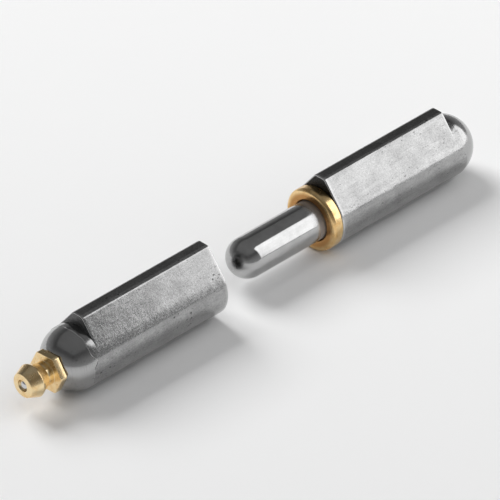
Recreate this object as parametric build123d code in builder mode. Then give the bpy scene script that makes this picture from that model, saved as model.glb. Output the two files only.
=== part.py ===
from build123d import *
import os
from math import acos, atan2, cos, hypot, radians, sin, sqrt, tan

os.makedirs("parts", exist_ok=True)

# Weld-on barrel hinge, laid out with its two halves drawn apart along the hinge axis.
# Millimetres. The origin is the centre of the pin half's weld face, +Z points out of that
# face, and the hinge axis runs along X below it, with the pin pointing to -X.

# Drawn bar that both barrels are cut from
barrel_diameter = 12.6
wing_reach = 8.65  # from the hinge axis to the weld face on the wing's tip
wing_tip_width = 2.4
wing_corner_radius = 0.6
wing_length = 31.5
neck_length = 0.95  # round stretch between the wing's end and the centre of the ball end
wing_end_chamfer = 0.15
open_rim_chamfer = 0.2

# Hinge pin, pressed into the pin half and running in the socket
pin_diameter = 8.0
pin_exposed = 22.8
pin_seat = 20.0
pin_press = 0.01  # radial interference in the pin half
pin_relief_depth = 0.06  # turned relief beside the thrust face
pin_relief_length = 3.6
pin_inner_chamfer = 0.6
pin_hole_spare = 0.6

# Thrust washer
washer_diameter = 12.6
washer_thickness = 2.3
washer_bore_clearance = 0.1
washer_front_edge_radius = 0.55  # on the side that the socket half turns on
washer_back_edge_chamfer = 0.15
washer_bore_chamfer = 0.25
washer_float = 0.1  # axial gap on each side of the washer

# Socket in the other half
socket_clearance = 0.05
socket_depth = 22.6
socket_mouth_chamfer = 0.4
drill_point_angle = 118.0
grease_passage_diameter = 3.0

# Grease nipple, screwed into a spot face on the socket half's ball end
spot_face_diameter = 6.2
nipple_thread_diameter = 6.0
nipple_thread_clearance = 0.02
nipple_thread_length = 5.5
nipple_hole_spare = 1.5
hexagon_across_flats = 7.2
hexagon_thickness = 1.45
hexagon_turn = 4.0  # angle of one corner from the wing, in degrees
nipple_neck_diameter = 4.6
nipple_neck_height = 1.25
head_diameter = 6.5
head_rim_height = 3.35  # above the hexagon
head_rim_radius = 0.35
head_height = 5.65
head_top_diameter = 4.7
head_top_chamfer = 0.25
port_mouth_diameter = 2.35
port_diameter = 2.0
port_depth = 0.5
nipple_bore_diameter = 2.8
nipple_lip_diameter = 1.7
nipple_lip_length = 0.5

# Check ball and its spring
ball_diameter = 2.5
ball_seat_clearance = 0.03
spring_wire_diameter = 0.3
spring_outer_diameter = 2.4
spring_pitch = 1.6
spring_wire_sides = 6  # the wire is drawn with flats, to keep the coil light

# Distance from the socket half's open face to the tip of the pin
apart_gap = 7.0

barrel_radius = barrel_diameter / 2
pin_radius = pin_diameter / 2
# Each flank is the tangent to the round bar from a corner of the wing's tip
corner_distance = hypot(wing_tip_width / 2, wing_reach)
flank_angle = atan2(wing_tip_width / 2, wing_reach) + acos(barrel_radius / corner_distance)
flank_x = barrel_radius * sin(flank_angle)
flank_y = barrel_radius * cos(flank_angle)
ball_end_center = wing_length + neck_length  # measured from a barrel's open face
axis_height = -wing_reach
hinge_axis = Axis((0, 0, axis_height), (1, 0, 0))
pin_face = -wing_length / 2
socket_face = pin_face - pin_exposed - apart_gap
# Each half's direction along the hinge axis, from its open face to its ball end
PIN_HALF = Vector(1, 0, 0)
SOCKET_HALF = Vector(-1, 0, 0)
WING_SIDE = Vector(0, 0, 1)


def across(half, distance, face):
    """Plane square to the hinge axis, facing the half's ball end, at a distance from its face."""
    origin = Vector(face, 0, axis_height) + half * distance
    return Plane(origin=origin, x_dir=WING_SIDE.cross(half), z_dir=half)


def along(half, face):
    """Plane that holds the hinge axis as its X, running from a half's face to its ball end."""
    return Plane(origin=(face, 0, axis_height), x_dir=half, z_dir=half.cross(WING_SIDE))


def turned_bar(half, face):
    """Drawn bar with a tapered wing, cut square at its face and turned to a ball at its far end."""
    with BuildPart() as bar:
        with BuildSketch(across(half, 0, face)) as section:
            with BuildLine():
                Polyline(
                    (-flank_x, flank_y),
                    (-wing_tip_width / 2, wing_reach),
                    (wing_tip_width / 2, wing_reach),
                    (flank_x, flank_y),
                )
                ThreePointArc((flank_x, flank_y), (0, -barrel_radius), (-flank_x, flank_y))
            make_face()
            fillet(section.vertices().group_by(Axis.Y)[-1], wing_corner_radius)
        extrude(amount=wing_length)
        end_faces = bar.faces().filter_by(Axis.X).sort_by(Axis((0, 0, 0), half))
        wing_end = end_faces[-1].edges().sort_by(SortBy.LENGTH)[:-1]
        chamfer(end_faces[0].edges(), open_rim_chamfer)
        chamfer(wing_end, wing_end_chamfer)
        with BuildSketch(along(half, face)):
            with BuildLine():
                start = (wing_length, 0)
                shoulder = (wing_length, barrel_radius)
                ball_side = (ball_end_center, barrel_radius)
                pole = (ball_end_center + barrel_radius, 0)
                Polyline(start, shoulder, ball_side)
                RadiusArc(ball_side, pole, barrel_radius)
                Line(pole, start)
            make_face()
        revolve(axis=hinge_axis)
    return bar.part


# Pin half: barrel with a blind hole that the pin is pressed into
pin_bar = turned_bar(PIN_HALF, pin_face)
with BuildPart() as pin_barrel:
    add(pin_bar)
    with BuildSketch(along(PIN_HALF, pin_face)):
        with BuildLine():
            hole_radius = pin_radius - pin_press
            hole_end = pin_seat + pin_hole_spare
            hole_point = hole_end + hole_radius / tan(radians(drill_point_angle / 2))
            Polyline(
                (0, 0), (0, hole_radius), (hole_end, hole_radius), (hole_point, 0), close=True
            )
        make_face()
    revolve(axis=hinge_axis, mode=Mode.SUBTRACT)
pin_barrel.part.label = "pin_barrel"
export_step(pin_barrel.part, "parts/pin_barrel.step")

with BuildPart() as hinge_pin:
    with BuildSketch(along(PIN_HALF, pin_face)):
        with BuildLine():
            relief_radius = pin_radius - pin_relief_depth
            tip_center = -pin_exposed + pin_radius
            inner_end = (pin_seat, 0)
            tip_side = (tip_center, pin_radius)
            tip_pole = (-pin_exposed, 0)
            Polyline(
                inner_end,
                (pin_seat, pin_radius - pin_inner_chamfer),
                (pin_seat - pin_inner_chamfer, pin_radius),
                (0, pin_radius),
                (0, relief_radius),
                (-pin_relief_length, relief_radius),
                (-pin_relief_length - pin_relief_depth, pin_radius),
                tip_side,
            )
            RadiusArc(tip_side, tip_pole, -pin_radius)
            Line(tip_pole, inner_end)
        make_face()
    revolve(axis=hinge_axis)
hinge_pin.part.label = "hinge_pin"
export_step(hinge_pin.part, "parts/hinge_pin.step")

# Thrust washer, loose on the pin against the pin half's face
with BuildPart() as thrust_washer:
    with BuildSketch(along(SOCKET_HALF, pin_face)) as washer_section:
        bore_radius = pin_radius + washer_bore_clearance
        with Locations((washer_float, bore_radius)):
            Rectangle(
                washer_thickness,
                washer_diameter / 2 - bore_radius,
                align=(Align.MIN, Align.MIN),
            )
        back_edge, front_edge = washer_section.vertices().group_by(Axis.Y)[-1].sort_by(Axis.X)
        chamfer(back_edge, washer_back_edge_chamfer)
        fillet(front_edge, washer_front_edge_radius)
        chamfer(washer_section.vertices().group_by(Axis.Y)[0], washer_bore_chamfer)
    revolve(axis=hinge_axis)
thrust_washer.part.label = "thrust_washer"
export_step(thrust_washer.part, "parts/thrust_washer.step")

# Socket half: one revolved cut makes the pin's socket, the grease passage and the nipple's hole
spot_face_height = ball_end_center + sqrt(barrel_radius**2 - (spot_face_diameter / 2) ** 2)
socket_radius = pin_radius + socket_clearance
passage_radius = grease_passage_diameter / 2
socket_point = (socket_radius - passage_radius) / tan(radians(drill_point_angle / 2))
nipple_hole_radius = nipple_thread_diameter / 2 + nipple_thread_clearance
nipple_hole_bottom = spot_face_height - nipple_thread_length - nipple_hole_spare
nipple_hole_point = (nipple_hole_radius - passage_radius) / tan(radians(drill_point_angle / 2))
socket_bar = turned_bar(SOCKET_HALF, socket_face)
with BuildPart() as socket_barrel:
    add(socket_bar)
    with BuildSketch(across(SOCKET_HALF, spot_face_height, socket_face)):
        Circle(barrel_radius)
    extrude(amount=barrel_radius, mode=Mode.SUBTRACT)
    with BuildSketch(along(SOCKET_HALF, socket_face)):
        with BuildLine():
            Polyline(
                (0, 0),
                (0, socket_radius + socket_mouth_chamfer),
                (socket_mouth_chamfer, socket_radius),
                (socket_depth, socket_radius),
                (socket_depth + socket_point, passage_radius),
                (nipple_hole_bottom - nipple_hole_point, passage_radius),
                (nipple_hole_bottom, nipple_hole_radius),
                (spot_face_height, nipple_hole_radius),
                (spot_face_height, 0),
                close=True,
            )
        make_face()
    revolve(axis=hinge_axis, mode=Mode.SUBTRACT)
socket_barrel.part.label = "socket_barrel"
export_step(socket_barrel.part, "parts/socket_barrel.step")

# Grease nipple: threaded shank, thin hexagon, neck and coned head, bored for the ball and spring
nipple_seat = socket_face - spot_face_height
thread_radius = nipple_thread_diameter / 2
nipple_bore_radius = nipple_bore_diameter / 2
head_top = hexagon_thickness + head_height
seat_cone_length = nipple_bore_radius - port_diameter / 2
with BuildPart() as nipple_body:
    with BuildSketch(along(SOCKET_HALF, nipple_seat)) as nipple_section:
        with BuildLine():
            Polyline(
                (-nipple_thread_length, nipple_lip_diameter / 2),
                (-nipple_thread_length, thread_radius),
                (hexagon_thickness, thread_radius),
                (hexagon_thickness, nipple_neck_diameter / 2),
                (hexagon_thickness + nipple_neck_height, nipple_neck_diameter / 2),
                (hexagon_thickness + head_rim_height, head_diameter / 2),
                (head_top, head_top_diameter / 2),
                (head_top, port_mouth_diameter / 2),
                (head_top - port_depth, port_diameter / 2),
                (head_top - port_depth - seat_cone_length, nipple_bore_radius),
                (-nipple_thread_length + nipple_lip_length, nipple_bore_radius),
                (-nipple_thread_length + nipple_lip_length, nipple_lip_diameter / 2),
                close=True,
            )
        make_face()
        head_rim = nipple_section.vertices().group_by(Axis.Y)[-1]
        fillet(head_rim, head_rim_radius)
        top_corner = nipple_section.vertices().group_by(Axis.X)[-1].sort_by(Axis.Y)[-1]
        chamfer(top_corner, head_top_chamfer)
    revolve(axis=hinge_axis)
    with BuildSketch(across(SOCKET_HALF, 0, nipple_seat)):
        RegularPolygon(
            hexagon_across_flats / 2, 6, major_radius=False, rotation=90 + hexagon_turn
        )
        Circle(thread_radius, mode=Mode.SUBTRACT)
    extrude(amount=hexagon_thickness)
nipple_body.part.label = "nipple_body"
export_step(nipple_body.part, "parts/nipple_body.step")

# Check ball, held against the port from inside by its spring
ball_radius = ball_diameter / 2
port_radius = port_diameter / 2
ball_center = (
    head_top - port_depth - sqrt(ball_radius**2 - port_radius**2) - ball_seat_clearance
)
with BuildPart() as nipple_ball:
    with Locations(across(SOCKET_HALF, ball_center, nipple_seat)):
        Sphere(ball_radius)
nipple_ball.part.label = "nipple_ball"
export_step(nipple_ball.part, "parts/nipple_ball.step")

coil_radius = (spring_outer_diameter - spring_wire_diameter) / 2
wire_radius = spring_wire_diameter / 2
ball_to_coil = sqrt((ball_radius + wire_radius) ** 2 - coil_radius**2)
spring_top = ball_center - ball_to_coil - ball_seat_clearance
spring_bottom = (
    -nipple_thread_length + nipple_lip_length + wire_radius + ball_seat_clearance
)
spring_foot = across(SOCKET_HALF, spring_bottom, nipple_seat)
with BuildPart() as nipple_spring:
    with BuildLine() as coil_path:
        Helix(
            spring_pitch,
            spring_top - spring_bottom,
            coil_radius,
            center=spring_foot.origin,
            direction=spring_foot.z_dir,
        )
    with BuildSketch(Plane(origin=coil_path.line @ 0, z_dir=coil_path.line % 0)):
        RegularPolygon(wire_radius, spring_wire_sides)
    sweep(is_frenet=True)
nipple_spring.part.label = "nipple_spring"
export_step(nipple_spring.part, "parts/nipple_spring.step")
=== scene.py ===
from math import acos, atan2, cos, hypot, pi, radians, sin, sqrt, tan

import bmesh
import bpy
import numpy as np
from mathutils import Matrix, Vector


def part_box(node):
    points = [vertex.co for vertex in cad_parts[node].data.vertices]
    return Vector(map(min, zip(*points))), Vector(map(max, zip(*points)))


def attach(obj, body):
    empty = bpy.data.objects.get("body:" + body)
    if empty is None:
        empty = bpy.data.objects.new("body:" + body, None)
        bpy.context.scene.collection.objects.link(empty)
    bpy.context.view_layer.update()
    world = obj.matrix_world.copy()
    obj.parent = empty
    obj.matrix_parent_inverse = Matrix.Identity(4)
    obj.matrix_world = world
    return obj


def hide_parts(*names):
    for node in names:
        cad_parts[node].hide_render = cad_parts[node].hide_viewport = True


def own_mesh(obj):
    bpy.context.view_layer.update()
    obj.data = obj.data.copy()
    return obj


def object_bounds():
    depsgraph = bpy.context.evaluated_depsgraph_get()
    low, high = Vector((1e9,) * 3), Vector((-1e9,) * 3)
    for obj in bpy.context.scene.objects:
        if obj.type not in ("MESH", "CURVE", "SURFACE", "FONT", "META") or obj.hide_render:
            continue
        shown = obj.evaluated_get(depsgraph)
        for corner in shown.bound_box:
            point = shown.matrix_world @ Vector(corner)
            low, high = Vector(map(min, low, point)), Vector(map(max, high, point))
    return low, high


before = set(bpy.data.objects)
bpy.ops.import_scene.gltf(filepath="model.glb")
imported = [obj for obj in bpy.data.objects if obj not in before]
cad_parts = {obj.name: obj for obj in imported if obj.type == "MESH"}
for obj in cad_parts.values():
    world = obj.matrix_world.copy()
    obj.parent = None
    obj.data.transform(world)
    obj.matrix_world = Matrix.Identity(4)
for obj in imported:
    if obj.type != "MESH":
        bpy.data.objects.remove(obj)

# Weld-on barrel hinge with its two halves drawn apart on one axis. The pin half lies wing up,
# and the socket half lies in line with it, its grease nipple towards the viewer.
# Metres, in the frame's own axes: the hinge axis runs along X and the wings point to +Z.

cad_low, cad_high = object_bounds()
MM = 0.001

# ---------------------------------------------------------------- sizes

bar_low, bar_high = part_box("pin_barrel")
pin_low, pin_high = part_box("hinge_pin")
washer_low, washer_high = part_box("thrust_washer")
socket_low, socket_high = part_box("socket_barrel")
nipple_low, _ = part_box("nipple_body")
ball_low, ball_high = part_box("nipple_ball")
spring_low, spring_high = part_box("nipple_spring")

axis_height = (pin_low.z + pin_high.z) / 2
bar_radius = (bar_high.y - bar_low.y) / 2
wing_reach = bar_high.z - axis_height
pin_face = bar_low.x
socket_face = socket_high.x
pin_radius = (pin_high.z - pin_low.z) / 2
washer_radius = (washer_high.y - washer_low.y) / 2
ball_radius = (ball_high.z - ball_low.z) / 2

wing_length = 31.5 * MM
wing_tip_width = 2.4 * MM
wing_corner_radius = 1.0 * MM  # a little softer than the solid's
rim_radius = 0.2 * MM  # rounded edge of the open face
wing_end_radius = 0.15 * MM
drill_half_angle = radians(59)
merge_distance = 0.0002 * MM  # points closer than this become one

# Each flank is the tangent to the round bar from a corner of the wing's tip
flank_angle = atan2(wing_tip_width / 2, wing_reach) + acos(
    bar_radius / hypot(wing_tip_width / 2, wing_reach)
)
ball_end_center = bar_high.x - bar_radius - pin_face  # from a barrel's open face

# ---------------------------------------------------------------- shapes


def rounded(points, radii, steps=8, guard=0.03 * MM):
    """Profile through points, with each inner corner turned into an arc of its radius.

    The arc's centre lies on the corner's bisector, and its ends lie radius / tan(half the
    corner) along the two runs. A guard point just outside each end keeps the runs flat.
    """
    points = np.asarray(points, float)
    path = [points[:1]]
    for before, corner, after, radius in zip(points, points[1:], points[2:], radii):
        back = (before - corner) / np.linalg.norm(before - corner)
        ahead = (after - corner) / np.linalg.norm(after - corner)
        if radius == 0:
            path.append(np.array([corner + back * guard, corner, corner + ahead * guard]))
            continue
        opening = acos(np.clip(back @ ahead, -1, 1))
        reach = radius / tan(opening / 2)
        bisector = (back + ahead) / np.linalg.norm(back + ahead)
        middle = corner + bisector * radius / sin(opening / 2)
        start, end = corner + back * reach - middle, corner + ahead * reach - middle
        sweep = pi - opening
        part = np.linspace(0, 1, steps + 1)[:, None]
        arc = np.sin((1 - part) * sweep) * start + np.sin(part * sweep) * end
        arc = middle + arc / sin(sweep)
        path.append(np.vstack([arc[:1] + back * guard, arc, arc[-1:] + ahead * guard]))
    path.append(points[-1:])
    return np.vstack(path)


def grid_mesh(name, grid, closed_rows, facet_angle=radians(32), **marks):
    """Mesh over a grid of points, rows by columns, whose columns always close on themselves.

    Rows close too where closed_rows says so. Points that coincide are merged, so a row of
    radius 0 becomes a pole. marks are point attributes, with one value for each grid point.
    """
    rows, columns = grid.shape[:2]
    index = np.arange(rows * columns).reshape(rows, columns)
    below = index if closed_rows else index[:-1]
    above = np.roll(index, -1, 0) if closed_rows else index[1:]
    corners = (below, np.roll(below, -1, 1), np.roll(above, -1, 1), above)
    faces = np.stack(corners, -1).reshape(-1, 4)
    mesh = bpy.data.meshes.new(name)
    mesh.from_pydata(grid.reshape(-1, 3), [], faces.tolist())
    for mark, values in marks.items():
        attribute = mesh.attributes.new(mark, "FLOAT", "POINT")
        attribute.data.foreach_set("value", np.broadcast_to(values, (rows, columns)).ravel())
    work = bmesh.new()
    work.from_mesh(mesh)
    bmesh.ops.remove_doubles(work, verts=work.verts, dist=merge_distance)
    bmesh.ops.recalc_face_normals(work, faces=work.faces)
    work.to_mesh(mesh)
    work.free()
    mesh.shade_smooth()
    mesh.set_sharp_from_angle(angle=facet_angle)
    return mesh


def place(name, mesh, body, material, node):
    """Object that stands for a CAD node, rides on its body and takes its finish from a slot."""
    piece = bpy.data.objects.new(name, mesh)
    bpy.context.scene.collection.objects.link(piece)
    mesh.materials.append(material)
    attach(piece, body)
    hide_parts(node)
    return piece


def turned_grid(profile, columns=192):
    """Points of a part turned about the hinge axis from a profile of (x, radius) points."""
    angle = np.linspace(0, 2 * pi, columns, endpoint=False)
    x = np.repeat(profile[:, :1], columns, 1)
    out = profile[:, 1:2]
    return np.stack([x, out * np.sin(angle), axis_height + out * np.cos(angle)], -1)


def ball_end(center, radius, start, end, steps):
    """Profile of a ball end: (x, radius) points at angles from +X about the ball's centre."""
    angle = np.linspace(start, end, steps)
    return np.stack([center + radius * np.cos(angle), radius * np.sin(angle)], -1)


# ---------------------------------------------------------------- drawn barrels


class Section:
    """The drawn bar's section, as columns that run round it from the viewer's flank.

    The outline is a flank line, a corner arc, the tip, a corner arc and a flank line, and
    then the round bar. bend is the direction of each column's outward normal, measured from
    the wing, and around is the angle of the same column on a circle about the axis. on_wing
    rises from 0 on the round bar to 1 on the wing.
    """

    flank_columns, corner_columns, tip_columns, round_columns = 30, 8, 10, 150
    wing_rise = 0.25 * MM  # height above the round bar from which a column counts as wing

    def __init__(self):
        eased = (1 - np.cos(np.linspace(0, pi, self.flank_columns + 1))) / 2
        corner = np.array([-wing_tip_width / 2, wing_reach])
        flank_out = np.array([-sin(flank_angle), cos(flank_angle)])
        tip_out = np.array([0.0, 1.0])
        middle = corner - wing_corner_radius * (flank_out + tip_out) / (1 + flank_out @ tip_out)
        foot, shoulder = bar_radius * flank_out, middle + wing_corner_radius * flank_out
        flank = foot + (shoulder - foot) * eased[:-1, None]
        bend = np.linspace(-flank_angle, 0, self.corner_columns + 1)
        arc = middle + wing_corner_radius * np.stack([np.sin(bend), np.cos(bend)], -1)
        half_tip = np.linspace(arc[-1, 0], 0, self.tip_columns // 2 + 1)[1:]
        tip = np.stack([half_tip, np.full_like(half_tip, wing_reach)], -1)
        near = np.vstack([flank, arc, tip])
        near_bend = np.concatenate([np.full(len(flank), -flank_angle), bend, np.zeros(len(tip))])
        wing = np.vstack([near, near[-2::-1] * (-1, 1)])
        wing_bend = np.concatenate([near_bend, -near_bend[-2::-1]])
        rest = np.linspace(flank_angle, 2 * pi - flank_angle, self.round_columns + 1)[1:-1]
        self.outline = np.vstack([wing, bar_radius * np.stack([np.sin(rest), np.cos(rest)], -1)])
        self.bend = np.concatenate([wing_bend, rest])
        self.around = np.concatenate([np.linspace(-flank_angle, flank_angle, len(wing)), rest])
        rise = np.hypot(*self.outline.T) - bar_radius
        self.on_wing = np.clip(rise / self.wing_rise, 0, 1)
        self.on_wing[len(wing):] = 0

    def row(self, x, inset=0.0):
        """Section at x, drawn in by an inset along each column's normal."""
        out = np.stack([np.sin(self.bend), np.cos(self.bend)], -1)
        points = self.outline - out * np.broadcast_to(inset, self.bend.shape)[:, None]
        return self.at(x, points)

    def circle(self, x, radius):
        """Circle about the axis with the same columns."""
        out = np.stack([np.sin(self.around), np.cos(self.around)], -1)
        return self.at(x, out * np.broadcast_to(radius, self.around.shape)[:, None])

    def at(self, x, points):
        """Points at x from their place across the bar, as (side, up) from the axis."""
        x = np.broadcast_to(x, len(points))
        return np.stack([x, points[:, 0], axis_height + points[:, 1]], -1)


section = Section()
skin_step = 0.07 * MM  # the turned ball end stands this far below the drawn skin
skin_reach = 0.75 * MM  # the skin runs on past the ball's centre
ripples = ((0.10 * MM, 3, 0.4), (0.07 * MM, 7, 1.9), (0.05 * MM, 16, 0.0))  # height, count, start
notch_depth, notch_angle, notch_width = 0.9 * MM, 5.05, 0.16  # one deep bay in the skin's edge
step_length = 0.05 * MM  # along the bar, on each side of the skin's edge

# Rows of the grid, as shares of the stretch that they lie on
ring_rows = (0.03, 0.5, 0.97)
edge_turns = np.linspace(0, pi / 2, 6)
bar_rows = (0.0015, 0.008, 0.015, 0.022, 0.06, 0.12, 0.25, 0.4, 0.6, 0.75, 0.88, 0.94, 0.97, 0.99)
neck_rows = (0.02, 0.5, 0.9)
ball_end_rows = 40

# How bright the edges are painted, with rubbing and a painted highlight, and how dark the painted
# shade on the wing's saw-cut end is
face_wear_sheen, wing_end_wear_sheen, step_wear_sheen = 0.45, 0.5, 0.6
wear_sheen_length = 0.022  # share of the bar next to the open face that gets rubbing and a painted highlight
wing_end_shade = 0.7


def skin_edge():
    """Distance from the open face at which each column's drawn skin gives way to the ball end.

    It is the reach plus the ripples, each its height times the sine of count times the angle
    plus start, less a bell-shaped notch.
    """
    a = section.around
    ripple = sum(height * np.sin(count * a + start) for height, count, start in ripples)
    from_notch = (a - notch_angle + pi) % (2 * pi) - pi
    notch = notch_depth * np.exp(-((from_notch / notch_width) ** 2))
    return ball_end_center + skin_reach + ripple - notch


def barrel_rows(inner, ball_stop):
    """Rows from the bore's bottom, over the open face and along the bar, to the ball end.

    inner holds the (distance, radius) points of the bore from its mouth inwards, and the
    ball end stops at the angle ball_stop from its pole. Distances are from the open face.
    Each row has three marks from 0 to 1: the bare turned ball end, the saw-cut faces, which get
    painted shade, and the edges, which are lightened by rubbing and a painted highlight.
    """
    rows, marks = [], []

    def add(points, turned=0.0, sawn=0.0, worn=0.0):
        rows.append(points)
        marks.append([np.broadcast_to(mark, len(points)) for mark in (turned, sawn, worn)])

    for distance, radius in inner[::-1]:
        add(section.circle(distance, radius), turned=1)
    mouth = section.circle(0, inner[0][1])
    face = section.row(0, rim_radius)
    for part in ring_rows:
        # The open face gets painted shade through this mark.
        add(mouth + (face - mouth) * part, sawn=1)
    for turn in edge_turns:
        inset = rim_radius * (1 - sin(turn))
        # The open face's rounded rim gets rubbing and a painted highlight.
        add(section.row(rim_radius * (1 - cos(turn)), inset), worn=sin(turn))
    stretch = wing_length - rim_radius - wing_end_radius
    for part in bar_rows:
        wear_sheen = face_wear_sheen * max(0.0, 1 - part / wear_sheen_length)
        add(section.row(rim_radius + stretch * part), worn=wear_sheen)
    for turn in edge_turns:
        inset = wing_end_radius * (1 - cos(turn)) * section.on_wing
        x = wing_length - wing_end_radius * (1 - sin(turn))
        add(section.row(x, inset), worn=wing_end_wear_sheen * section.on_wing * cos(turn))
    end_face = section.row(wing_length, wing_end_radius * section.on_wing)
    root = section.circle(wing_length, bar_radius)
    for part in ring_rows:
        # The wing's end face gets painted shade through this mark.
        add(end_face + (root - end_face) * part, sawn=wing_end_shade * section.on_wing)
    add(root)
    edge = skin_edge()
    for part in neck_rows:
        add(ball_row(wing_length + (edge - wing_length) * part, 0))
    add(ball_row(edge - step_length, 0))
    # The skin's edge gets a painted highlight together with rubbing.
    add(ball_row(edge, 0), turned=0.5, worn=step_wear_sheen)
    add(ball_row(edge + step_length, skin_step), turned=1)
    start = np.arccos(np.clip((edge + 2 * step_length - ball_end_center) / bar_radius, -1, 1))
    for part in np.linspace(0, 1, ball_end_rows):
        angle = start + (ball_stop - start) * part
        radius = bar_radius - skin_step
        x = ball_end_center + radius * np.cos(angle)
        add(section.circle(x, radius * np.sin(angle)), turned=1)
    return rows, marks


def ball_row(distance, depth):
    """Row of the ball end at a distance from the open face, cut a depth below the drawn bar.

    Its radius squared is the ball's radius squared less the distance along squared.
    """
    along = np.clip(distance - ball_end_center, 0, None)
    return section.circle(distance, np.sqrt((bar_radius - depth) ** 2 - along**2))


def barrel_mesh(name, half, face, inner, ball_stop, outer):
    """Barrel of one half, which runs from its face towards half * X.

    outer holds the (distance, radius) points beyond the ball end, and closes the grid.
    """
    rows, marks = barrel_rows(inner, ball_stop)
    for distance, radius in outer:
        rows.append(section.circle(distance, radius))
        marks.append([np.full(len(section.around), mark) for mark in (1.0, 0.0, 0.0)])
    grid = np.stack(rows)
    grid[..., 0] = face + half * grid[..., 0]
    turned, sawn, worn = np.moveaxis(np.array(marks), 1, 0)
    return grid_mesh(name, grid, outer != [], turned=turned, sawn=sawn, worn=worn)


def pin_barrel(material):
    """Pin half's barrel, with a blind hole that the pin fills."""
    hole_end = 20.6 * MM
    hole_point = hole_end + pin_radius / tan(drill_half_angle)
    mouth = 0.05 * MM
    inner = [(0, pin_radius), (mouth, pin_radius), (hole_end, pin_radius), (hole_point, 0)]
    mesh = barrel_mesh("drawn_pin_barrel", 1, pin_face, inner, 0.0, [])
    place("drawn_pin_barrel", mesh, "pin_half", material, "pin_barrel")


def socket_barrel(material):
    """Socket half's barrel, bored through for the pin, the grease and the nipple."""
    bore = pin_radius + 0.05 * MM
    mouth = 0.4 * MM
    bore_depth = 22.6 * MM
    passage = 1.5 * MM
    nipple_hole, nipple_hole_depth = 3.02 * MM, 7.0 * MM
    spot_face = 3.1 * MM
    spot_distance = socket_face - socket_low.x
    hole_bottom = spot_distance - nipple_hole_depth
    inner = [
        (0, bore + mouth),
        (mouth, bore),
        (bore_depth, bore),
        (bore_depth + (bore - passage) / tan(drill_half_angle), passage),
        (hole_bottom - (nipple_hole - passage) / tan(drill_half_angle), passage),
        (hole_bottom, nipple_hole),
    ]
    outer = [(spot_distance, spot_face), (spot_distance, nipple_hole)]
    ball_stop = np.arcsin(spot_face / (bar_radius - skin_step))
    mesh = barrel_mesh("drawn_socket_barrel", -1, socket_face, inner, ball_stop, outer)
    place("drawn_socket_barrel", mesh, "socket_half", material, "socket_barrel")


# ---------------------------------------------------------------- pin, washer and nipple


def hinge_pin(material):
    """Ground pin with a round tip and a shallow relief beside the washer."""
    relief_depth, relief_length = 0.06 * MM, 3.6 * MM
    relief_end = pin_face - relief_length
    dull_end = relief_end - 1.8 * MM  # the duller finish fades out up to here
    shoulder_dullness = 0.4
    inner_end, tip_center = pin_high.x, pin_low.x + pin_radius
    inner_chamfer = 0.6 * MM
    inner_ease, relief_ease = 0.05 * MM, 0.03 * MM
    corners = [
        (inner_end, 0),
        (inner_end, pin_radius - inner_chamfer),
        (inner_end - inner_chamfer, pin_radius),
        (pin_face, pin_radius),
        (pin_face, pin_radius - relief_depth),
        (relief_end, pin_radius - relief_depth),
        (relief_end - relief_depth, pin_radius),
        (tip_center, pin_radius),
    ]
    shank = rounded(corners, [inner_ease, inner_ease, 0, 0, relief_ease, relief_ease], steps=4)
    tip = ball_end(tip_center, pin_radius, pi / 2, pi, 40)
    profile = np.vstack([shank[:-1], (dull_end, pin_radius), tip])
    x = profile[:, :1]
    dull = np.clip((x - dull_end) / (relief_end - dull_end), 0, 1) * shoulder_dullness
    dull = np.where((x < pin_face) & (x > relief_end), 1, dull)
    on_tip = np.clip((tip_center - x) / pin_radius, 0, 1)
    mesh = grid_mesh("ground_pin", turned_grid(profile), False, turned=dull, tip=on_tip)
    place("ground_pin", mesh, "pin_half", material, "hinge_pin")


def thrust_washer(material):
    """Brass washer: rounded front edge, broken back edge and a slightly eased bore."""
    bore = pin_radius + 0.1 * MM
    front_edge, back_edge = 0.75 * MM, 0.13 * MM
    bore_front, bore_back = 0.32 * MM, 0.3 * MM
    front, back = washer_low.x, washer_high.x
    middle = (front + back) / 2
    corners = [
        (middle, bore),
        (front, bore),
        (front, washer_radius),
        (back, washer_radius),
        (back, bore),
        (middle, bore),
    ]
    profile = rounded(corners, [bore_front, front_edge, back_edge, bore_back], steps=10)[:-1]
    # The inner mark rises towards the bore, where painted shade darkens the face.
    inner = np.clip((washer_radius - profile[:, 1:]) / (washer_radius - bore), 0, 1)
    mesh = grid_mesh("brass_washer", turned_grid(profile), True, inner=inner)
    place("brass_washer", mesh, "washer", material, "thrust_washer")


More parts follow.
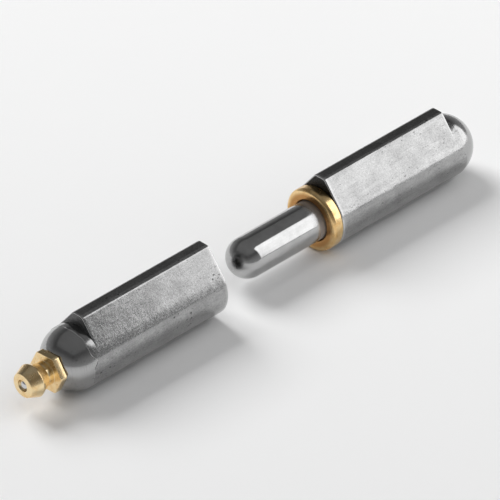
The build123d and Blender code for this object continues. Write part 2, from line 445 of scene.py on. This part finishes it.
def nipple_body(material):
    """Grease nipple, one closed grid: bore, port, head, neck, hexagon, thread and shank end.

    The thread's groove is a triangle wave over x / pitch plus the share of a turn, and fades
    out towards both ends of the shank.
    """
    seat = socket_low.x  # plane of the hexagon's underside
    top = nipple_low.x
    bore, bore_start = 1.4 * MM, top + 1.2 * MM
    port, port_mouth, port_depth = 1.0 * MM, 1.175 * MM, 0.5 * MM
    head_top, head_rim, head_rim_height = 2.35 * MM, 3.25 * MM, 3.35 * MM
    neck, neck_height, neck_root = 2.3 * MM, 1.25 * MM, 0.3 * MM
    hexagon_top, hexagon_start = seat - 1.45 * MM, neck + 0.35 * MM
    across_flats, hexagon_turn = 7.2 * MM, radians(4)
    edge, edge_steps = 0.12 * MM, np.linspace(0, pi / 2, 5)
    thread, thread_depth, thread_pitch, thread_rows = 3.0 * MM, 0.55 * MM, 1.0 * MM, 66
    thread_gap, shank_gap = 0.1 * MM, 0.4 * MM  # plain stretch at each end of the thread
    runout, runout_start = 0.8 * MM, 0.08 * MM  # over which the groove gets its full depth
    shank_end, shank_chamfer = seat + 5.5 * MM, 0.35 * MM
    lip, lip_length = 0.85 * MM, 0.5 * MM
    columns = 240
    angle = np.linspace(0, 2 * pi, columns, endpoint=False)

    def ring(x, out):
        """Points at x and at a distance out from the axis, for each column."""
        return np.stack([x + 0 * out, out * np.sin(angle), axis_height + out * np.cos(angle)], -1)

    def hexagon(x, inset):
        """Hexagon at x, drawn in by an inset, with its corners cut back to a circle.

        A flat stands half across_flats, less the inset, over the cosine of the angle from
        the flat's middle.
        """
        local = (angle - hexagon_turn + pi / 6) % (pi / 3) - pi / 6
        flat = (across_flats / 2 - inset) / np.cos(local)
        return ring(x, np.minimum(flat, across_flats / sqrt(3) - edge - inset))

    corners = [
        (bore_start, bore),
        (top + port_depth, port),
        (top, port_mouth),
        (top, head_top),
        (hexagon_top - head_rim_height, head_rim),
        (hexagon_top - neck_height, neck),
        (hexagon_top, neck),
        (hexagon_top, neck + neck_root),
    ]
    radii = [0.05 * MM, 0.08 * MM, 0.3 * MM, 0.35 * MM, 0.25 * MM, 0.12 * MM]
    rows = [turned_grid(rounded(corners, radii, steps=7), columns)]

    inner = ring(hexagon_top, np.full(columns, hexagon_start))
    outer = hexagon(hexagon_top, edge)
    rows += [(inner + (outer - inner) * part)[None] for part in (0.5, 0.97)]
    for turn in edge_steps:
        rows.append(hexagon(hexagon_top + edge * (1 - cos(turn)), edge * (1 - sin(turn)))[None])
    for turn in edge_steps[::-1]:
        rows.append(hexagon(seat - edge * (1 - cos(turn)), edge * (1 - sin(turn)))[None])
    inner, outer = ring(seat, np.full(columns, thread)), hexagon(seat, edge)
    rows += [(outer + (inner - outer) * part)[None] for part in (0.03, 0.97)]

    x = np.linspace(seat + thread_gap, shank_end - shank_gap, thread_rows)[:, None]
    phase = (x / thread_pitch + angle / (2 * pi)) % 1
    fade = np.clip((np.minimum(x - seat, shank_end - x) - runout_start) / runout, 0, 1)
    rows.append(ring(x, thread - fade * thread_depth * (1 - np.abs(2 * phase - 1))))
    end = [
        (shank_end, thread - shank_chamfer),
        (shank_end, lip),
        (shank_end - lip_length, lip),
        (shank_end - lip_length, bore),
    ]
    rows.append(turned_grid(np.array(end), columns))
    mesh = grid_mesh("brass_nipple", np.concatenate(rows), True)
    place("brass_nipple", mesh, "socket_half", material, "nipple_body")


def nipple_ball(material):
    """Polished check ball in the nipple's port."""
    center = (ball_low.x + ball_high.x) / 2
    rows, columns = 48, 96
    profile = ball_end(center, ball_radius, 0, pi, rows)
    mesh = grid_mesh("check_ball", turned_grid(profile, columns), False)
    place("check_ball", mesh, "check_ball", material, "nipple_ball")


def nipple_spring(material):
    """Coil spring: a circle carried along a helix, with its plane square to the wire."""
    wire_radius = 0.15 * MM
    coil_radius = (spring_high.z - spring_low.z) / 2 - wire_radius
    start, end = spring_high.x - wire_radius, spring_low.x + wire_radius
    turns, steps, sides = 5.6, 240, 12
    along = np.linspace(0, 1, steps)[:, None]
    wound = along * turns * 2 * pi
    out = np.stack([0 * wound, np.sin(wound), np.cos(wound)], -1)
    axis = np.stack([start + (end - start) * along, 0 * along, axis_height + 0 * along], -1)
    line = axis + coil_radius * out
    tangent = np.gradient(line[:, 0], axis=0)
    tangent /= np.linalg.norm(tangent, axis=1, keepdims=True)
    side = np.cross(tangent, out[:, 0])[:, None]
    angle = np.linspace(0, 2 * pi, sides, endpoint=False)[:, None]
    wire = line + wire_radius * (out * np.cos(angle) + side * np.sin(angle))
    grid = np.concatenate([np.repeat(line[:1], sides, 1), wire, np.repeat(line[-1:], sides, 1)])
    mesh = grid_mesh("check_spring", grid, False)
    piece = place("check_spring", mesh, "socket_half", material, "nipple_spring")
    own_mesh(piece)


# ---------------------------------------------------------------- finishes


def grey(level):
    """Opaque colour with the same level in red, green and blue."""
    return (level, level, level, 1.0)


class Graph:
    """A node tree with short ways to add nodes and join them."""

    def __init__(self, tree):
        self.tree = tree
        self.tree.nodes.clear()

    def add(self, kind, inputs=None, **settings):
        """New node, with its settings, and its inputs by name or number as values or links."""
        node = self.tree.nodes.new(kind)
        for name, value in settings.items():
            setattr(node, name, value)
        for name, value in (inputs or {}).items():
            self.feed(node.inputs[name], value)
        return node

    def feed(self, socket, value):
        """Joins an output to a socket, or gives the socket a plain value."""
        if isinstance(value, bpy.types.NodeSocket):
            self.tree.links.new(value, socket)
        else:
            socket.default_value = value

    def math(self, operation, first, second):
        """Result of a named operation on two numbers."""
        node = self.add("ShaderNodeMath", {0: first, 1: second}, operation=operation)
        return node.outputs[0]

    def total(self, *terms):
        """Sum of patterns, each with its weight."""
        parts = [self.math("MULTIPLY", pattern, weight) for pattern, weight in terms]
        result = parts[0]
        for part in parts[1:]:
            result = self.math("ADD", result, part)
        return result

    def blend(self, factor, first, second):
        """Mix of two colours."""
        node = self.add("ShaderNodeMix", {0: factor, 6: first, 7: second}, data_type="RGBA")
        return node.outputs[2]

    def mix(self, factor, first, second):
        """Mix of two numbers."""
        return self.add("ShaderNodeMix", {0: factor, 2: first, 3: second}).outputs[0]

    def stained(self, colour, *stains):
        """Colour with greys laid over it. A stain is a pattern, its strength and its tone."""
        for pattern, strength, tone in stains:
            factor = self.math("MULTIPLY", pattern, strength)
            colour = self.blend(factor, colour, grey(tone))
        return colour

    def shade(self, colour, amount):
        """Colour multiplied by an amount."""
        node = self.add("ShaderNodeVectorMath", {0: colour, 3: amount}, operation="SCALE")
        return node.outputs[0]

    def fade(self, value, low, high, out_low=0.0, out_high=1.0):
        """Smooth step of a value between two limits, mapped to an output range."""
        limits = {"From Min": low, "From Max": high, "To Min": out_low, "To Max": out_high}
        node = self.add(
            "ShaderNodeMapRange", {"Value": value, **limits}, interpolation_type="SMOOTHSTEP"
        )
        return node.outputs[0]

    def mark(self, name):
        """Value that the mesh's points carry under a name, or 0 where they carry none."""
        return self.add("ShaderNodeAttribute", attribute_name=name).outputs["Fac"]

    def bump(self, height, depth):
        """Normal of a surface that rises by the depth from height 0 to 1."""
        node = self.add("ShaderNodeBump", {"Height": height, "Strength": 1.0, "Distance": depth})
        return node.outputs[0]

    def coordinates(self):
        """Object coordinates, in metres."""
        return self.add("ShaderNodeTexCoord").outputs["Object"]

    def drawn_out(self, along):
        """Coordinates in which a pattern is drawn out along X."""
        split = self.add("ShaderNodeSeparateXYZ", {0: self.coordinates()}).outputs
        short = self.math("MULTIPLY", split[0], along)
        return self.add("ShaderNodeCombineXYZ", {0: short, 1: split[1], 2: split[2]}).outputs[0]


def new_group(name, inputs, outputs):
    """Shader node group with named float inputs and their defaults, and named float outputs."""
    tree = bpy.data.node_groups.new(name, "ShaderNodeTree")
    graph = Graph(tree)
    for socket, value in inputs.items():
        made = tree.interface.new_socket(socket, in_out="INPUT", socket_type="NodeSocketFloat")
        made.default_value = value
    for socket in outputs:
        tree.interface.new_socket(socket, in_out="OUTPUT", socket_type="NodeSocketFloat")
    entry = graph.add("NodeGroupInput")
    exit_node = graph.add("NodeGroupOutput")
    return tree, graph, entry.outputs, exit_node.inputs


def lengthwise_lines():
    """Draw lines: noise drawn out along the bar. Along is its fineness there, as a share."""
    tree, graph, given, result = new_group(
        "lengthwise_lines", {"Fineness": 4000.0, "Along": 0.02, "Seed": 0.0}, ["Lines"]
    )
    noise = graph.add(
        "ShaderNodeTexNoise",
        {
            "Vector": graph.drawn_out(given["Along"]),
            "W": given["Seed"],
            "Scale": given["Fineness"],
            "Detail": 3.0,
        },
        noise_dimensions="4D",
    )
    graph.feed(result["Lines"], noise.outputs[0])
    return tree


def turning_lines():
    """Fine rings left by a lathe: noise over the distance along the axis and out from it."""
    tree, graph, given, result = new_group("turning_lines", {"Fineness": 9000.0}, ["Lines"])
    split = graph.add("ShaderNodeSeparateXYZ", {0: graph.coordinates()})
    up = graph.math("SUBTRACT", split.outputs[2], axis_height)
    flat = graph.add("ShaderNodeCombineXYZ", {1: split.outputs[1], 2: up})
    out = graph.add("ShaderNodeVectorMath", {0: flat.outputs[0]}, operation="LENGTH")
    joined = graph.add("ShaderNodeCombineXYZ", {0: split.outputs[0], 1: out.outputs["Value"]})
    noise = graph.add(
        "ShaderNodeTexNoise",
        {"Vector": joined.outputs[0], "Scale": given["Fineness"], "Detail": 2.0},
        noise_dimensions="2D",
    )
    graph.feed(result["Lines"], noise.outputs[0])
    return tree


def pitting():
    """Separate pits: cells of which a share hold a pit, and more of them in patches.

    A pit's size is its cell's luck plus the share there, less 1. Its reach from the cell's
    centre grows with its size, and its depth fades in over its rim.
    """
    wobble_fineness, wobble_length = 6500.0, 0.4 * MM
    patch_low, patch_high = 0.38, 0.66
    least_reach, growth = 0.12, 1.1
    rim_low, rim_high = -0.05, 0.35
    tree, graph, given, result = new_group(
        "pitting",
        {"Fineness": 3500.0, "Share": 0.3, "Patch": 250.0, "Along": 1.0, "Seed": 0.0},
        ["Pits"],
    )
    where = graph.drawn_out(given["Along"])
    wobble = graph.add(
        "ShaderNodeTexNoise", {"Vector": where, "Scale": wobble_fineness, "Detail": 4.0}
    )
    shift = graph.shade(wobble.outputs["Color"], wobble_length)
    moved = graph.add("ShaderNodeVectorMath", {0: where, 1: shift}, operation="ADD")
    cells = graph.add(
        "ShaderNodeTexVoronoi",
        {"Vector": moved.outputs[0], "W": given["Seed"], "Scale": given["Fineness"]},
        voronoi_dimensions="4D",
    )
    luck = graph.add("ShaderNodeSeparateColor", {0: cells.outputs["Color"]}).outputs[0]
    patches = graph.add(
        "ShaderNodeTexNoise", {"Vector": where, "Scale": given["Patch"], "Detail": 3.0}
    )
    spread = graph.fade(patches.outputs[0], patch_low, patch_high)
    share = graph.math("MULTIPLY", given["Share"], spread)
    size = graph.math("SUBTRACT", graph.math("ADD", luck, share), 1.0)
    reach = graph.math("ADD", graph.math("MULTIPLY", size, growth), least_reach)
    depth = graph.math("SUBTRACT", reach, cells.outputs["Distance"])
    found = graph.math("GREATER_THAN", size, 0.0)
    graph.feed(result["Pits"], graph.math("MULTIPLY", graph.fade(depth, rim_low, rim_high), found))
    return tree


def mottling():
    """Cloudy patches of tone."""
    tree, graph, given, result = new_group("mottling", {"Fineness": 300.0, "Seed": 0.0}, ["Cloud"])
    noise = graph.add(
        "ShaderNodeTexNoise",
        {
            "Vector": graph.coordinates(),
            "W": given["Seed"],
            "Scale": given["Fineness"],
            "Detail": 5.0,
            "Roughness": 0.6,
        },
        noise_dimensions="4D",
    )
    graph.feed(result["Cloud"], noise.outputs[0])
    return tree


groups = {
    "lengthwise": lengthwise_lines(),
    "turning": turning_lines(),
    "pitting": pitting(),
    "mottling": mottling(),
}


def use_group(graph, name, **inputs):
    """Places a shared group in a material and gives its only output."""
    node = graph.add("ShaderNodeGroup", node_tree=groups[name])
    for socket, value in inputs.items():
        node.inputs[socket].default_value = value
    return node.outputs[0]


def start_material(name, **sockets):
    """New material with a Principled shader, and the sockets that are the same all over."""
    material = bpy.data.materials.new(name)
    material.use_nodes = True
    graph = Graph(material.node_tree)
    shader = graph.add("ShaderNodeBsdfPrincipled")
    for socket, value in sockets.items():
        shader.inputs[socket.replace("_", " ")].default_value = value
    graph.add("ShaderNodeOutputMaterial", {"Surface": shader.outputs["BSDF"]})
    return material, graph, shader.inputs


def drawn_steel():
    """Cold-drawn bar with draw lines and pits, bare turned ball end, saw-cut faces darkened with
    painted shade, and edges lightened by rubbing and a painted highlight.
    """
    skin_dark, skin_pale, skin_dull, skin_bright = grey(0.33), grey(0.415), 0.86, 1.12
    bare_tone, rubbed_sheen_tone = grey(0.45), grey(0.7)
    # Near-black tones of the saw-cut faces are painted shade, not the colour of cut steel.
    sawn_dark, sawn_pale, sawn_roughness = grey(0.03), grey(0.08), 0.5
    material, graph, shader = start_material("drawn_steel", Metallic=1.0)
    turned, sawn, worn = graph.mark("turned"), graph.mark("sawn"), graph.mark("worn")
    lines = use_group(graph, "lengthwise", Fineness=3600.0, Along=0.07)
    streaks = use_group(graph, "lengthwise", Fineness=1000.0, Along=0.16, Seed=4.0)
    pits = use_group(graph, "pitting", Fineness=2900.0, Share=0.5, Patch=230.0, Along=0.6)
    nicks = use_group(
        graph, "pitting", Fineness=4300.0, Share=0.7, Patch=420.0, Along=0.4, Seed=7.0
    )
    specks = use_group(graph, "pitting", Fineness=6200.0, Share=0.5, Patch=500.0, Seed=13.0)
    cloud = use_group(graph, "mottling", Fineness=260.0)
    grain = use_group(graph, "mottling", Fineness=3300.0, Seed=3.0)
    dents = use_group(graph, "mottling", Fineness=950.0, Seed=5.0)
    rings = use_group(graph, "turning", Fineness=7000.0)

    skin = graph.blend(graph.fade(cloud, 0.35, 0.65), skin_dark, skin_pale)
    dull, bright = graph.shade(skin, skin_dull), graph.shade(skin, skin_bright)
    skin = graph.blend(graph.fade(grain, 0.36, 0.64), dull, bright)
    skin = graph.stained(
        skin,
        (graph.fade(lines, 0.5, 0.75), 0.45, 0.26),
        (graph.fade(streaks, 0.52, 0.72), 0.3, 0.52),
        (specks, 0.35, 0.68),
        (nicks, 0.35, 0.10),
        (pits, 0.85, 0.05),
    )
    bare = graph.stained(bare_tone, (graph.fade(rings, 0.4, 0.7), 0.4, 0.36), (pits, 0.4, 0.12))
    # Painted shade: the saw-cut faces take the near-black tones.
    cut = graph.blend(graph.fade(grain, 0.4, 0.6), sawn_dark, sawn_pale)
    colour = graph.blend(sawn, graph.blend(turned, skin, bare), cut)
    # Painted highlight: the edges turn pale grey, partly from rubbing and partly painted sheen.
    graph.feed(shader["Base Color"], graph.blend(worn, colour, rubbed_sheen_tone))

    skin_roughness = graph.fade(grain, 0.3, 0.7, 0.11, 0.21)
    bare_roughness = graph.fade(rings, 0.3, 0.7, 0.13, 0.22)
    roughness = graph.mix(turned, skin_roughness, bare_roughness)
    graph.feed(shader["Roughness"], graph.mix(sawn, roughness, sawn_roughness))

    skin_height = graph.total(
        (lines, 0.30), (grain, 0.45), (dents, 1.1), (pits, -1.0), (nicks, -0.25)
    )
    bare_height = graph.total((rings, 0.12), (dents, 0.7))
    height = graph.mix(turned, skin_height, bare_height)
    graph.feed(shader["Normal"], graph.bump(height, depth=0.012 * MM))
    return material


def pin_steel():
    """Ground and polished pin, duller on its tip and most of all in its turned relief."""
    polish_pale, polish_dark, relief_tone = grey(0.51), grey(0.45), grey(0.64)
    tip_roughness, relief_roughness = 0.28, 0.62
    material, graph, shader = start_material("pin_steel", Metallic=1.0)
    relief, tip = graph.mark("turned"), graph.mark("tip")
    lines = use_group(graph, "lengthwise", Fineness=5200.0, Along=0.02, Seed=2.0)
    cloud = use_group(graph, "mottling", Fineness=420.0, Seed=5.0)
    rings = use_group(graph, "turning", Fineness=8000.0)
    polish = graph.blend(graph.fade(cloud, 0.35, 0.7), polish_pale, polish_dark)
    graph.feed(shader["Base Color"], graph.blend(relief, polish, relief_tone))
    roughness = graph.mix(tip, graph.fade(lines, 0.35, 0.75, 0.09, 0.15), tip_roughness)
    graph.feed(shader["Roughness"], graph.mix(relief, roughness, relief_roughness))
    height = graph.total((lines, 0.10), (graph.math("MULTIPLY", rings, relief), 0.5))
    graph.feed(shader["Normal"], graph.bump(height, depth=0.006 * MM))
    return material


def brass(name, clean, deep, smooth, rough):
    """Turned brass with clouded tone, small dark nicks and lathe rings, and painted shade that
    darkens it near a bore.
    """
    bore_shade, dirt = (0.50, 0.26, 0.09, 1.0), (0.25, 0.13, 0.04, 1.0)
    material, graph, shader = start_material(name, Metallic=1.0)
    cloud = use_group(graph, "mottling", Fineness=520.0, Seed=9.0)
    nicks = use_group(graph, "pitting", Fineness=3000.0, Share=0.25, Patch=500.0, Seed=11.0)
    rings = use_group(graph, "turning", Fineness=6500.0)
    colour = graph.blend(graph.fade(cloud, 0.35, 0.68), clean, deep)
    # Painted shade: the face darkens to brown towards the bore.
    colour = graph.blend(graph.fade(graph.mark("inner"), 0.15, 0.6), colour, bore_shade)
    colour = graph.blend(graph.math("MULTIPLY", nicks, 0.6), colour, dirt)
    graph.feed(shader["Base Color"], colour)
    graph.feed(shader["Roughness"], graph.fade(cloud, 0.3, 0.7, smooth, rough))
    height = graph.total((rings, 0.25), (nicks, -1.0))
    graph.feed(shader["Normal"], graph.bump(height, depth=0.008 * MM))
    return material


def small_steel(name, fineness, seed, tones, roughness):
    """Steel of the small pieces, clouded between two tones and two roughnesses."""
    material, graph, shader = start_material(name, Metallic=1.0)
    cloud = use_group(graph, "mottling", Fineness=fineness, Seed=seed)
    graph.feed(shader["Base Color"], graph.blend(cloud, grey(tones[0]), grey(tones[1])))
    graph.feed(shader["Roughness"], graph.fade(cloud, 0.3, 0.7, *roughness))
    return material


# ---------------------------------------------------------------- camera, floor and light

view_turn = radians(45)  # from -X towards -Y, where the viewer stands
view_rise = radians(35)
camera_distance = 1.0
camera_lens = 395.0
camera_clip = 0.01  # the nearest distance that is drawn
centre = (cad_low + cad_high) / 2

# Sizes in metres, and paints, glows and skies as levels of grey
room_half, room_height = 1.7, 1.8
floor_half = 3
floor_paint, room_paint = 0.9, 0.1
wall_glow_low, wall_glow_high, wall_glow_height = 0.27, 0.06, 1.4
ceiling_glow = 0.15
dim_sky, white_sky = 0.35, 1.0


def direction(turn, rise):
    """Unit vector at a turn round Z from the viewer, towards the right, and a rise from level."""
    side = view_turn + turn
    return Vector((-cos(side) * cos(rise), -sin(side) * cos(rise), sin(rise)))


def aim(thing, spot, target):
    """Puts a camera or lamp at a spot, with its -Z axis on the target and no roll."""
    thing.location = spot
    thing.rotation_euler = (target - spot).to_track_quat("-Z", "Y").to_euler()


def add_camera():
    """Camera on the viewer's side, aimed at the middle of the hinge."""
    camera = bpy.data.objects.new("camera", bpy.data.cameras.new("camera"))
    camera.data.lens = camera_lens
    camera.data.clip_start = camera_clip
    aim(camera, centre + direction(0, view_rise) * camera_distance, centre)
    bpy.context.scene.collection.objects.link(camera)
    bpy.context.scene.camera = camera


def add_softbox(name, turn, rise, distance, size, radiance, shift=0.0, mirrored=True):
    """Rectangular area lamp that faces the hinge, shifted sideways in its own plane.

    Its power is its radiance times pi and its area. Where it isn't mirrored, it lights the
    metal and the floor without showing in polished faces.
    """
    lamp = bpy.data.lights.new(name, "AREA")
    lamp.shape = "RECTANGLE"
    lamp.size, lamp.size_y = size
    lamp.energy = radiance * pi * size[0] * size[1]
    softbox = bpy.data.objects.new(name, lamp)
    aside = direction(turn, 0).cross(Vector((0, 0, -1))) * shift
    aim(softbox, centre + aside + direction(turn, rise) * distance, centre + aside)
    softbox.visible_glossy = mirrored
    bpy.context.scene.collection.objects.link(softbox)


def add_stage(name, corners, faces, paint):
    """Plain sheet of the studio, which isn't part of the hinge."""
    mesh = bpy.data.meshes.new(name)
    mesh.from_pydata(corners, [], faces)
    sheet = bpy.data.objects.new(name, mesh)
    bpy.context.scene.collection.objects.link(sheet)
    material, graph, shader = start_material(
        name + "_paint", Base_Color=grey(paint), Roughness=1.0, Specular_IOR_Level=0.0
    )
    mesh.materials.append(material)
    return sheet, graph, shader


def add_studio():
    """Pale floor, and a soft grey room that shows only in reflections.

    The room glows as its walls would under the lamps: brightest low down, and dim towards
    the ceiling.
    """
    low, high = cad_low.z, cad_low.z + room_height
    square = ((-1, -1), (1, -1), (1, 1), (-1, 1))
    floor = [(x * floor_half, y * floor_half, low) for x, y in square]
    add_stage("floor", floor, [(0, 1, 2, 3)], floor_paint)
    corners = [(x * room_half, y * room_half, z) for z in (low, high) for x, y in square]
    sides = [(0, 1, 5, 4), (1, 2, 6, 5), (2, 3, 7, 6), (3, 0, 4, 7)]
    walls, graph, shader = add_stage("walls", corners, sides, room_paint)
    walls.visible_camera = False
    up = graph.add("ShaderNodeSeparateXYZ", {0: graph.coordinates()}).outputs[2]
    glow = graph.fade(up, 0.0, wall_glow_height, wall_glow_low, wall_glow_high)
    graph.feed(shader["Emission Color"], graph.blend(glow, grey(0.0), grey(1.0)))
    shader["Emission Strength"].default_value = 1.0
    ceiling, graph, shader = add_stage("ceiling", corners, [(4, 5, 6, 7)], room_paint)
    ceiling.visible_camera = False
    shader["Emission Color"].default_value = grey(ceiling_glow)
    shader["Emission Strength"].default_value = 1.0


def set_world():
    """White where it is seen or mirrored, and a plain grey light elsewhere."""
    world = bpy.data.worlds.new("studio")
    world.use_nodes = True
    bpy.context.scene.world = world
    graph = Graph(world.node_tree)
    path = graph.add("ShaderNodeLightPath").outputs
    seen = graph.math("MAXIMUM", path["Is Camera Ray"], path["Is Glossy Ray"])
    seen = graph.math("MAXIMUM", seen, path["Is Transmission Ray"])
    dim = graph.add("ShaderNodeBackground", {"Color": grey(dim_sky)})
    white = graph.add("ShaderNodeBackground", {"Color": grey(white_sky)})
    mix = graph.add("ShaderNodeMixShader", {0: seen, 1: dim.outputs[0], 2: white.outputs[0]})
    graph.add("ShaderNodeOutputWorld", {"Surface": mix.outputs[0]})


# ---------------------------------------------------------------- the whole

steel = drawn_steel()
washer_clean, washer_deep = (0.96, 0.71, 0.37, 1.0), (0.80, 0.50, 0.20, 1.0)
nipple_clean, nipple_deep = (0.98, 0.79, 0.48, 1.0), (0.92, 0.65, 0.32, 1.0)
pin_barrel(steel)
socket_barrel(steel)
hinge_pin(pin_steel())
thrust_washer(brass("washer_brass", washer_clean, washer_deep, smooth=0.18, rough=0.30))
nipple_body(brass("nipple_brass", nipple_clean, nipple_deep, smooth=0.20, rough=0.30))
nipple_ball(
    small_steel(
        "ball_steel", fineness=900.0, seed=6.0, tones=(0.62, 0.72), roughness=(0.05, 0.12)
    )
)
nipple_spring(
    small_steel(
        "spring_steel", fineness=1500.0, seed=8.0, tones=(0.30, 0.45), roughness=(0.25, 0.40)
    )
)

add_camera()
add_studio()
set_world()
add_softbox(
    "key_softbox",
    turn=radians(75),
    rise=radians(28),
    distance=0.5,
    size=(0.55, 0.5),
    radiance=1.7,
    shift=0.315,
)
add_softbox(
    "fill_softbox",
    turn=radians(-135),
    rise=radians(42),
    distance=1.4,
    size=(0.8, 0.8),
    radiance=8.3,
    mirrored=False,
)
add_softbox(
    "overhead_softbox",
    turn=radians(45),
    rise=radians(75),
    distance=1.5,
    size=(1.2, 1.2),
    radiance=0.8,
    mirrored=False,
)
bpy.context.scene.view_settings.view_transform = "Standard"
